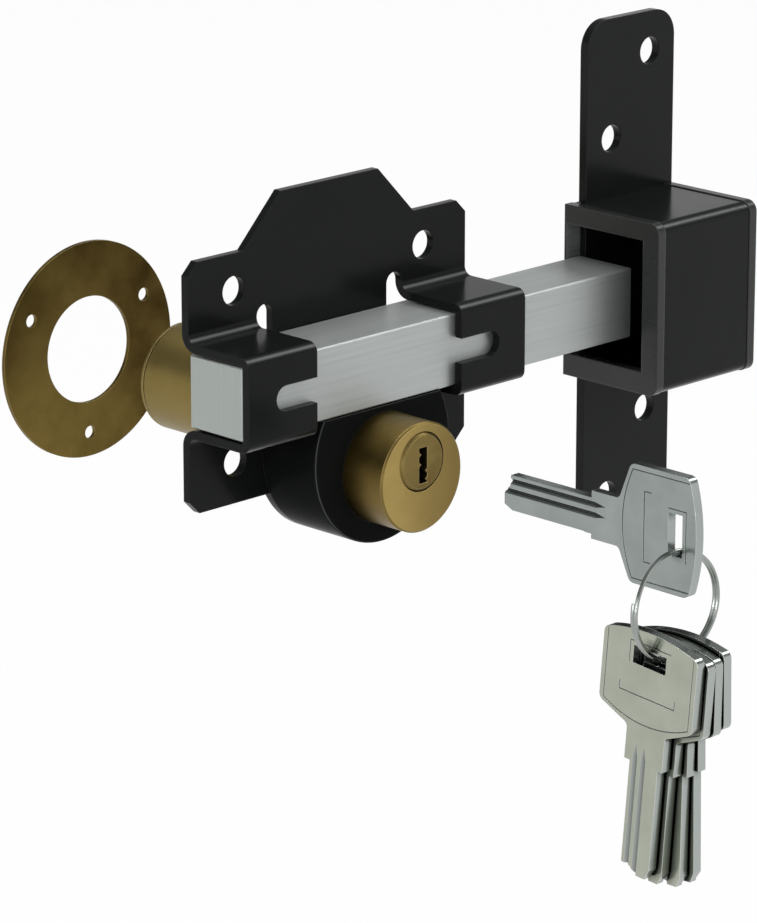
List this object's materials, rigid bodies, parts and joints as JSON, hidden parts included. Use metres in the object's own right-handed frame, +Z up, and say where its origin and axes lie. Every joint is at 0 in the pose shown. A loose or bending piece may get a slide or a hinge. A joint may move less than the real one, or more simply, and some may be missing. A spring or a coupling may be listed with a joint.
{
  "type": "long throw rim lock",
  "caption": "Long throw rim lock for a gate: square bolt in pressed bridges, geared double cylinders, boxed keep, escutcheon and a ring of keys.",
  "frame": {"origin": "middle of the four gate fixing holes, on the back face of the mounting plate", "axes": "+X along the bolt towards the keep, +Y from the plate into the gate, +Z up"},
  "size_m": [0.1886, 0.2422, 0.1928],
  "materials": {
    "black_paint": "satin black stove enamel",
    "black_plastic": "semi-gloss black",
    "stainless": "brushed along the bar",
    "brass": "satin",
    "aged_brass": "satin, slightly aged",
    "gear_steel": "machined",
    "spring_steel": "bright",
    "zinc_steel": "zinc plated",
    "key_metal": "nickel silver, satin",
    "key_metal_warm": "nickel silver, satin",
    "chrome_wire": "polished"
  },
  "bodies": {
    "lock": {"lock_plate": "black_paint", "gear_casing": "black_paint", "idler_stud": "gear_steel", "bolt_stop_pin": "gear_steel", "front_cylinder": "brass", "front_driver_pins": "brass", "front_pin_springs": "spring_steel", "rear_cylinder": "brass", "rear_driver_pins": "brass", "rear_pin_springs": "spring_steel", "casing_screws": "zinc_steel", "front_cylinder_screws": "zinc_steel", "rear_cylinder_screws": "zinc_steel", "cylinder_spacers": "zinc_steel", "escutcheon": "aged_brass", "keep_strap": "black_paint", "keep_box": "black_paint", "keep_mouth_cap": "black_plastic", "keep_end_cap": "black_plastic"},
    "bolt": {"lock_bolt": "stainless"},
    "drive": {"drive_gear": "gear_steel", "tail_bar": "gear_steel", "front_plug": "brass", "front_plug_clip": "spring_steel", "front_key_pins": "brass", "rear_plug": "brass", "rear_plug_clip": "spring_steel", "rear_key_pins": "brass"},
    "idler": {"idler_gear": "gear_steel"},
    "key": {"main_key": "key_metal"},
    "ring": {"key_ring": "chrome_wire"},
    "spare_1": {"spare_key_1": "key_metal_warm"},
    "spare_2": {"spare_key_2": "key_metal_warm"},
    "spare_3": {"spare_key_3": "key_metal_warm"},
    "spare_4": {"spare_key_4": "key_metal_warm"}
  },
  "joints": [
    {"name": "bolt_slide", "type": "slide", "parent": "lock", "child": "bolt", "axis": [1, 0, 0], "range_m": [-0.0471, 0]},
    {"name": "key_turn", "type": "hinge", "parent": "lock", "child": "drive", "pos_m": [0, 0, -0.0236], "axis": [0, 1, 0], "range_deg": [0, 360]},
    {"name": "idler_turn", "type": "hinge", "parent": "lock", "child": "idler", "pos_m": [0.01138, 0, -0.01589], "axis": [0, 1, 0], "range_deg": [-432, 0]},
    {"name": "key_insert", "type": "slide", "parent": "drive", "child": "key", "axis": [0, 1, 0], "range_m": [0, 0.0618]},
    {"name": "ring_swing", "type": "hinge", "parent": "key", "child": "ring", "pos_m": [0, -0.12965, -0.02765], "axis": [1, 0, 0], "range_deg": [-12, 12]},
    {"name": "spare_swing_1", "type": "hinge", "parent": "ring", "child": "spare_1", "pos_m": [-0.0085, -0.12907, -0.05462], "axis": [1, 0, 0], "range_deg": [-35, 35]},
    {"name": "spare_swing_2", "type": "hinge", "parent": "ring", "child": "spare_2", "pos_m": [-0.0052, -0.12936, -0.05586], "axis": [1, 0, 0], "range_deg": [-35, 35]},
    {"name": "spare_swing_3", "type": "hinge", "parent": "ring", "child": "spare_3", "pos_m": [-0.0019, -0.12965, -0.05625], "axis": [1, 0, 0], "range_deg": [-35, 35]},
    {"name": "spare_swing_4", "type": "hinge", "parent": "ring", "child": "spare_4", "pos_m": [0.0014, -0.12994, -0.05586], "axis": [1, 0, 0], "range_deg": [-35, 35]}
  ],
  "couplings": [
    {"joint": "key_turn", "follows": "bolt_slide", "rad_per_m": -133.33},
    {"joint": "idler_turn", "follows": "bolt_slide", "rad_per_m": 160}
  ]
}
